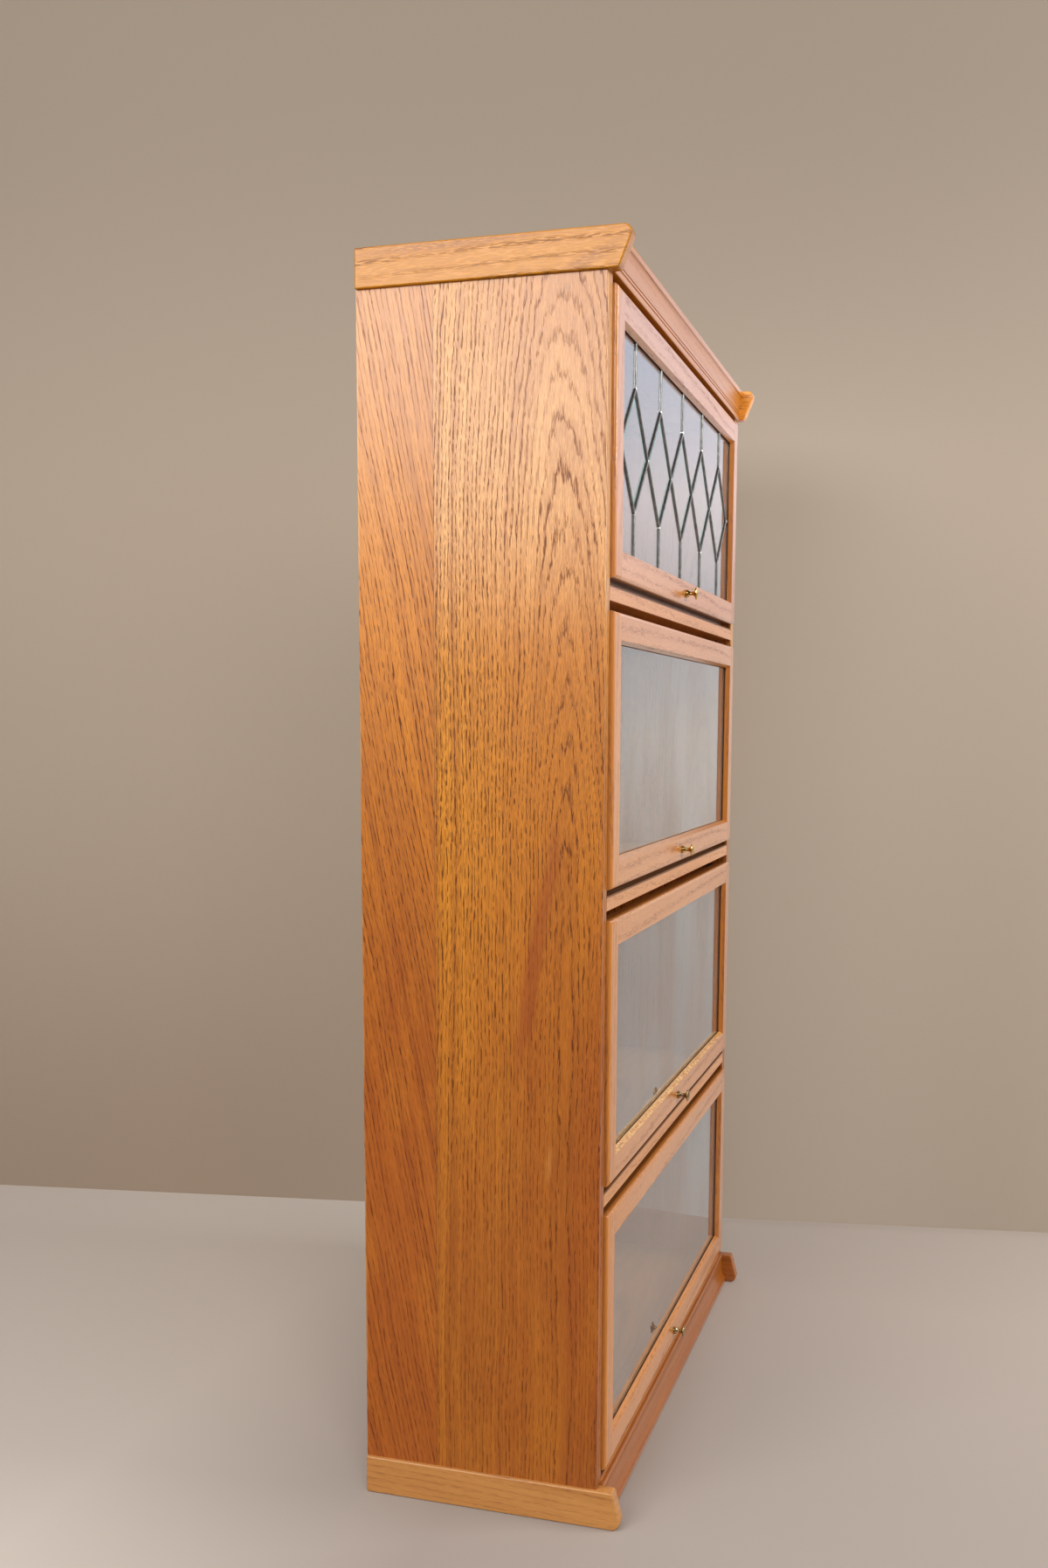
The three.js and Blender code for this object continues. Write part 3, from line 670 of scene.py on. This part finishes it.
def wornMaterial(name, tone, worn, rough, metallic=1.0):
    material, tree = freshMaterial(name)
    place = wire(tree, "TexCoord").outputs["Object"]
    aged = wire(tree, "Group", {"Vector": place, "Tone": tone, "Worn": worn, "Rough": rough},
                node_tree=tarnish)
    bump = wire(tree, "Bump", {"Height": aged.outputs["Height"], "Strength": 0.3, "Distance": 0.0001})
    shader = wire(tree, "BsdfPrincipled", {
        "Base Color": aged.outputs["Color"],
        "Metallic": metallic,
        "Roughness": aged.outputs["Roughness"],
        "Normal": bump.outputs[0],
    })
    wire(tree, "OutputMaterial", {"Surface": shader.outputs[0]})
    return material


def newPiece(name, work, material, body, nodes=(), smooth=40):
    bmesh.ops.recalc_face_normals(work, faces=work.faces)
    mesh = bpy.data.meshes.new(name)
    work.to_mesh(mesh)
    work.free()
    mesh.materials.append(material)
    if smooth:
        mesh.shade_smooth()
        mesh.set_sharp_from_angle(angle=math.radians(smooth))
    made = bpy.data.objects.new(name, mesh)
    scene.collection.objects.link(made)
    if nodes:
        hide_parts(*nodes)
    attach(made, body)


knobBrass = wornMaterial("knobBrass", (0.70, 0.47, 0.17, 1), (0.48, 0.29, 0.09, 1), 0.18)
lowerKnobBrass = wornMaterial("lowerKnobBrass", (0.50, 0.38, 0.20, 1), (0.27, 0.18, 0.09, 1), 0.22)
leadGrey = wornMaterial("leadGrey", (0.22, 0.22, 0.215, 1), (0.13, 0.13, 0.125, 1), 0.30)
solderTin = wornMaterial("solderTin", (0.80, 0.80, 0.78, 1), (0.60, 0.60, 0.58, 1), 0.15)
runnerNylon = wornMaterial("runnerNylon", (0.026, 0.024, 0.022, 1), (0.04, 0.037, 0.033, 1), 0.45,
                           metallic=0.0)
for number in range(1, 5):
    for label in ("left", "right"):
        give(f"door_{number}_{label}_runner", runnerNylon)


# Knobs: the turned outline as (reach from the rail, radius), in millimetres

knobTurning = {
    "outline": [(-14, 0), (-14, 2), (0, 2), (0, 5.4), (0.3, 5.75), (1.3, 5.8), (2.6, 5.65), (3.8, 5.2),
                (4.8, 4.3), (5.8, 3.5), (7.2, 2.95), (8.8, 2.7), (10.2, 2.85), (11.6, 3.5), (12.8, 4.7),
                (13.7, 6.2), (14.3, 7.8), (14.6, 8.7), (14.95, 9.0), (15.7, 9.0), (16.2, 8.75), (16.9, 7.4),
                (17.7, 5.0), (18.3, 2.6), (18.6, 0)],
    "steps": 40,
}


def turnedKnob(number):
    low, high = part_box(f"door_{number}_knob")
    centreX, centreZ = (low[0] + high[0]) / 2, (low[2] + high[2]) / 2
    railFace = low[1] + knobTurning["outline"][-1][0] / 1000
    work = bmesh.new()
    path = [work.verts.new((centreX + radius / 1000, railFace - reach / 1000, centreZ))
            for reach, radius in knobTurning["outline"]]
    edges = [work.edges.new(pair) for pair in zip(path, path[1:])]
    bmesh.ops.spin(work, geom=path + edges, cent=(centreX, 0, centreZ), axis=(0, 1, 0), angle=2 * math.pi,
                   steps=knobTurning["steps"], use_merge=True)
    bmesh.ops.remove_doubles(work, verts=work.verts, dist=0.00001)
    brass = knobBrass if number < 3 else lowerKnobBrass  # the upper two are brighter
    newPiece(f"knob_{number}", work, brass, f"door_{number}", [f"door_{number}_knob"])


for number in range(1, 5):
    turnedKnob(number)
print("knobs turned")


# Lead lights of the top door: the pattern in (x, z) about the middle of its sight opening

leadSetup = {
    "sight": doorSetup["sight"],
    "tipStub": 0.0181,
    "uprightStub": 0.0555,
    "diamonds": 5,
    "tuck": 0.0009,
    "clear": 0.0001,  # between lead and glass
    # across the came, as (offset, height)
    "came": [(-0.003, 0.0), (-0.0030, 0.0007), (-0.0024, 0.0015), (-0.0014, 0.0020), (0.0, 0.0022),
             (0.0014, 0.0020), (0.0024, 0.0015), (0.0030, 0.0007), (0.003, 0.0)],
}
glassLow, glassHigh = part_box("door_1_glass")
leadMiddle = (glassLow[2] + glassHigh[2]) / 2
tipX = leadSetup["sight"][0] - leadSetup["tipStub"]
tipRise = leadSetup["sight"][1] - leadSetup["uprightStub"]
tipHalf = tipX / leadSetup["diamonds"]
endX = leadSetup["sight"][0] + leadSetup["tuck"]
endZ = leadSetup["sight"][1] + leadSetup["tuck"]
tipsAcross = [(2 * i - leadSetup["diamonds"] + 1) * tipHalf for i in range(leadSetup["diamonds"])]
leadBars = [((tipX, 0), (endX, 0)), ((-tipX, 0), (-endX, 0))]
leadJoints = [(x + tipHalf, 0) for x in tipsAcross] + [(-tipX, 0)]
for x in tipsAcross:
    for way in (-1, 1):
        tip = (x, way * tipRise)
        leadJoints.append(tip)
        leadBars += [(tip, (x, way * endZ)), (tip, (x - tipHalf, 0)), (tip, (x + tipHalf, 0))]


def drawnOut(work, face, way):
    made = bmesh.ops.extrude_face_region(work, geom=[face])["geom"]
    bmesh.ops.translate(work, vec=way, verts=[part for part in made if isinstance(part, bmesh.types.BMVert)])
    return [part for part in made if isinstance(part, bmesh.types.BMFace)][0]


def cameBar(work, start, end, faceY, outward):
    run = Vector((end[0] - start[0], 0, end[1] - start[1]))
    across = Vector((-run.z, 0, run.x)).normalized()
    foot = Vector((start[0], faceY, leadMiddle + start[1]))
    section = work.faces.new([work.verts.new(foot + across * offset + Vector((0, outward * height, 0)))
                              for offset, height in leadSetup["came"]])
    drawnOut(work, section, run)


solderSetup = {"radius": 0.0042, "vary": 0.0005, "stand": 0.0026, "wide": 0.8, "long": 1.12}


def solderDrop(work, place, faceY, outward, index):
    size = solderSetup["radius"] + solderSetup["vary"] * math.sin(index * 2.4)
    made = bmesh.ops.create_uvsphere(work, u_segments=16, v_segments=8, radius=size)["verts"]
    lean = Matrix.Rotation(0.5 * math.sin(index * 1.7), 4, "Y")
    squeeze = Matrix.Diagonal((solderSetup["wide"], solderSetup["stand"] / size, solderSetup["long"], 1))
    shift = Matrix.Translation((place[0], faceY, leadMiddle + place[1]))
    bmesh.ops.transform(work, matrix=shift @ lean @ squeeze, verts=made)
    for vert in made:
        if (vert.co.y - faceY) * outward < 0:
            vert.co.y = faceY


for label, faceY, outward in (("front", glassLow[1], -1), ("back", glassHigh[1], 1)):
    faceY += outward * leadSetup["clear"]
    work = bmesh.new()
    for start, end in leadBars:
        cameBar(work, start, end, faceY, outward)
    newPiece(f"lead_{label}", work, leadGrey, "door_1", [f"door_1_lead_{label}"])
    work = bmesh.new()
    for index, joint in enumerate(leadJoints):
        solderDrop(work, joint, faceY, outward, index)
    newPiece(f"solder_{label}", work, solderTin, "door_1")


# Panes of the top door: plain ones above and below, and bevelled diamonds

paneSetup = {"edge": 0.0012, "bevel": 0.009, "rim": 0.0013, "tuck": 0.004}


def paneOutlines():
    wide, tall = (side + paneSetup["tuck"] for side in leadSetup["sight"])
    stops = [-wide] + tipsAcross + [wide]
    outlines = []
    for way in (-1, 1):
        for i, (x0, x1) in enumerate(zip(stops, stops[1:])):
            first, last = i == 0, i == len(stops) - 2
            points = [(x0, way * tall), (x1, way * tall)]
            points += [(wide, 0), (tipX, 0)] if last else [(x1, way * tipRise)]
            if not first and not last:
                points += [(x0 + tipHalf, 0)]
            points += [(-tipX, 0), (-wide, 0)] if first else [(x0, way * tipRise)]
            outlines.append(points)
    return outlines


# A pane is cut a little smaller than its outline and drawn out from the back face of the glass
def cutPane(work, points, thickness):
    pane = work.faces.new([work.verts.new((x, glassHigh[1], leadMiddle + z)) for x, z in points])
    pane.normal_update()
    waste = bmesh.ops.inset_region(work, faces=[pane], thickness=paneSetup["edge"], use_boundary=True,
                                   use_even_offset=True)["faces"]
    bmesh.ops.delete(work, geom=waste, context="FACES")
    return drawnOut(work, pane, (0, -thickness, 0))


glassThick = glassHigh[1] - glassLow[1]
work = bmesh.new()
for points in paneOutlines():
    cutPane(work, points, glassThick)
newPiece("plain_panes", work, paneGlass, "door_1", ["door_1_glass"], smooth=0)

work = bmesh.new()
ground = work.faces.layers.float.new("ground")
for x in tipsAcross:
    points = [(x, tipRise), (x - tipHalf, 0), (x, -tipRise), (x + tipHalf, 0)]
    crest = cutPane(work, points, paneSetup["rim"])
    crest.normal_update()
    slopes = bmesh.ops.inset_region(work, faces=[crest], thickness=paneSetup["bevel"], use_boundary=True,
                                    use_even_offset=True)["faces"]
    bmesh.ops.translate(work, vec=(0, paneSetup["rim"] - glassThick, 0), verts=crest.verts)
    for face in slopes:
        face[ground] = 1
newPiece("bevelled_panes", work, bevelGlass, "door_1", smooth=0)
print("lead lights made")


# Stage

stageSetup = {
    "floor": (0.445, 0.388, 0.35),
    "wall": (0.40, 0.33, 0.262),
    "wallLine": ((0.533, 1.635), (0.904, -0.596)),
    "reach": 7.0,
}


def clearBehind(tree, surface):
    behind = wire(tree, "NewGeometry").outputs["Backfacing"]
    clear = wire(tree, "BsdfTransparent").outputs[0]
    return wire(tree, "MixShader", {0: behind, 1: surface, 2: clear}).outputs[0]


def toned(tone, strength=1.0):
    return (*[channel * strength for channel in tone], 1)


def stageMaterial(name, tone, oneSided=False):
    material, tree = freshMaterial(name)
    place = wire(tree, "TexCoord").outputs["Object"]
    mottle = noiseOf(tree, place, (1.3, 1.3, 1.3), 3.0).outputs[0]
    color = blendOf(tree, spanOf(tree, mottle, 0.3, 0.7, 0.0, 0.12), toned(tone), toned(tone, 0.8))
    across, toWall, upward = wire(tree, "SeparateXYZ", {0: place}).outputs
    if oneSided:  # painted light beside the case, over the case's cast shadow, and painted shade high up and in the far corner
        litBesideCase = timesOf(tree, spanOf(tree, toWall, 0.0, 0.5, 1.0, 0.0, smooth=True),
                        spanOf(tree, toWall, -0.55, -0.05, 0.3, 1.0, smooth=True))
        litBesideCase = timesOf(tree, litBesideCase, spanOf(tree, upward, 0.9, 2.0, 1.0, 0.0, smooth=True))
        color = blendOf(tree, litBesideCase, color, (0.54, 0.465, 0.38, 1))
        color = blendOf(tree, spanOf(tree, upward, 1.3, 2.3, smooth=True), color, toned(tone, 0.74))
        corner = timesOf(tree, spanOf(tree, toWall, 0.4, 1.2, smooth=True),
                         spanOf(tree, upward, 0.0, 1.0, 1.0, 0.15, smooth=True))
        color = blendOf(tree, corner, color, (0.33, 0.255, 0.19, 1))
    else:  # painted shade towards the camera and painted light near the wall; in reflections a painted dark left of the case and a painted pale in front of it
        color = vectorOf(tree, "MULTIPLY", color, spanOf(tree, across, -0.6, 0.4, 0.79, 1.06))
        color = blendOf(tree, spanOf(tree, toWall, 0.2, 0.7), color, (0.57, 0.51, 0.465, 1))
        shade = blendOf(tree, spanOf(tree, across, -0.6, -0.3), toned(tone, 0.15), toned(tone, 1.35))
        color = blendOf(tree, wire(tree, "LightPath").outputs["Is Glossy Ray"], color, shade)
    shader = wire(tree, "BsdfPrincipled", {"Base Color": color, "Roughness": 0.75})
    last = shader.outputs[0]
    if oneSided:
        last = clearBehind(tree, last)
    wire(tree, "OutputMaterial", {"Surface": last})
    return material


def stageSheet(name, corners, material):
    work = bmesh.new()
    work.faces.new([work.verts.new(corner) for corner in corners])
    mesh = bpy.data.meshes.new(name)
    work.to_mesh(mesh)
    work.free()
    mesh.materials.append(material)
    sheet = bpy.data.objects.new(name, mesh)
    scene.collection.objects.link(sheet)
    return sheet


reach = stageSetup["reach"]
stageSheet("floor", [(-reach, -reach, 0), (reach, -reach, 0), (reach, reach, 0), (-reach, reach, 0)],
           stageMaterial("floorPaint", stageSetup["floor"]))
lineA, lineB = (Vector((*point, 0)) for point in stageSetup["wallLine"])
along = (lineB - lineA).normalized()
farA, farB = lineA - along * reach, lineB + along * reach
rise = Vector((0, 0, reach))
stageSheet("backdrop", [farA, farB, farB + rise, farA + rise],
           stageMaterial("wallPaint", stageSetup["wall"], oneSided=True))

# Pale card by the wall that glows, seen only in reflections: it paints the reflection the doors show at a low
# angle; the camera doesn't see it
cardSetup = {
    "from": 0.05,
    "to": -1.3,
    "gap": 0.03,
    "top": 2.0,
    "strength": 1.3,
    # brown and dim low down, blue high up, as (height, colour)
    "shades": [(0.5, (0.45, 0.415, 0.385)), (1.0, (0.685, 0.64, 0.59)), (1.25, (0.575, 0.555, 0.575)),
               (1.48, (1.0, 0.90, 0.93)), (1.8, (0.71, 0.79, 0.95))],
}
inward = Vector((-along.y, along.x, 0))
if inward.x > 0:
    inward.negate()
cardStart, cardEnd = (lineA + along * ((target - lineA.y) / along.y) + inward * cardSetup["gap"]
                      for target in (cardSetup["from"], cardSetup["to"]))
material, tree = freshMaterial("paleCard")
place = wire(tree, "TexCoord").outputs["Object"]
upward = upwardOf(tree, place)
shades = wire(tree, "ValToRGB", {0: mathOf(tree, "DIVIDE", upward, cardSetup["top"])})
stops = shades.color_ramp.elements
for i, (level, shade) in enumerate(cardSetup["shades"]):
    stop = stops[i] if i < 2 else stops.new(1.0)
    stop.position = level / cardSetup["top"]
    stop.color = (*shade, 1)
# painted reflection: brown vertical streaks low down on the card
reflectedStreaks = noiseOf(tree, place, (24.0, 24.0, 2.0), 2.0).outputs[0]
reflectedStreaks = timesOf(tree, spanOf(tree, reflectedStreaks, 0.40, 0.62, 0.0, 0.4), spanOf(tree, upward, 0.9, 1.3, 1.0, 0.0))
shade = blendOf(tree, reflectedStreaks, shades.outputs[0], (0.40, 0.28, 0.20, 1))
shine = wire(tree, "Emission", {"Color": shade, "Strength": cardSetup["strength"]})
wire(tree, "OutputMaterial", {"Surface": clearBehind(tree, shine.outputs[0])})
cardTop = Vector((0, 0, cardSetup["top"]))
card = stageSheet("card", [cardStart, cardEnd, cardEnd + cardTop, cardStart + cardTop], material)
card.visible_camera = False
card.visible_diffuse = False
card.visible_shadow = False

lamps = {
    "key": {"place": (-2.9, 1.15, 2.31), "aim": (-0.4, 0.15, 1.1), "size": (1.9, 1.1), "power": 50,
            "tone": (1, 0.98, 0.95)},
    "left": {"place": (-2.9, -1.1, 2.5), "aim": (-0.3, 0, 1.0), "size": (1.1, 1.1), "power": 32,
             "tone": (1, 0.97, 0.94)},
    "front": {"place": (0.3, -2.9, 2.3), "aim": (0, 0, 1.0), "size": (1.3, 1.3), "power": 66,
              "tone": (1, 0.98, 0.96)},
    "over": {"place": (-1.5, 1.1, 3.0), "aim": (-1.0, 1.0, 0), "size": (2.2, 2.2), "power": 15,
             "tone": (1, 0.98, 0.96)},
}
for name, lamp in lamps.items():
    data = bpy.data.lights.new(name, "AREA")
    data.shape = "RECTANGLE"
    data.size, data.size_y = lamp["size"]
    data.energy = lamp["power"]
    data.color = lamp["tone"]
    light = bpy.data.objects.new(name, data)
    aim = Vector(lamp["aim"]) - Vector(lamp["place"])
    light.matrix_world = Matrix.Translation(lamp["place"]) @ aim.to_track_quat("-Z", "Y").to_matrix().to_4x4()
    scene.collection.objects.link(light)

skySetup = {"seen": (0.42, 0.345, 0.28), "mirrored": (0.035, 0.03, 0.025), "light": (1.0, 0.97, 0.94),
            "strength": 0.56}
world = bpy.data.worlds.new("studio")
scene.world = world
world.use_nodes = True
tree = world.node_tree
tree.nodes.clear()
path = wire(tree, "LightPath")
seen = mathOf(tree, "MAXIMUM", path.outputs["Is Camera Ray"], path.outputs["Is Transmission Ray"])
ambient = wire(tree, "Background", {"Color": toned(skySetup["light"]), "Strength": skySetup["strength"]})
shown = wire(tree, "Background", {"Color": toned(skySetup["seen"]), "Strength": 1.0})
mirrored = wire(tree, "Background", {"Color": toned(skySetup["mirrored"]), "Strength": 1.0})
sky = wire(tree, "MixShader", {0: path.outputs["Is Glossy Ray"], 1: ambient.outputs[0],
                               2: mirrored.outputs[0]})
sky = wire(tree, "MixShader", {0: seen, 1: sky.outputs[0], 2: shown.outputs[0]})
wire(tree, "OutputWorld", {"Surface": sky.outputs[0]})
print("stage and lamps ready")
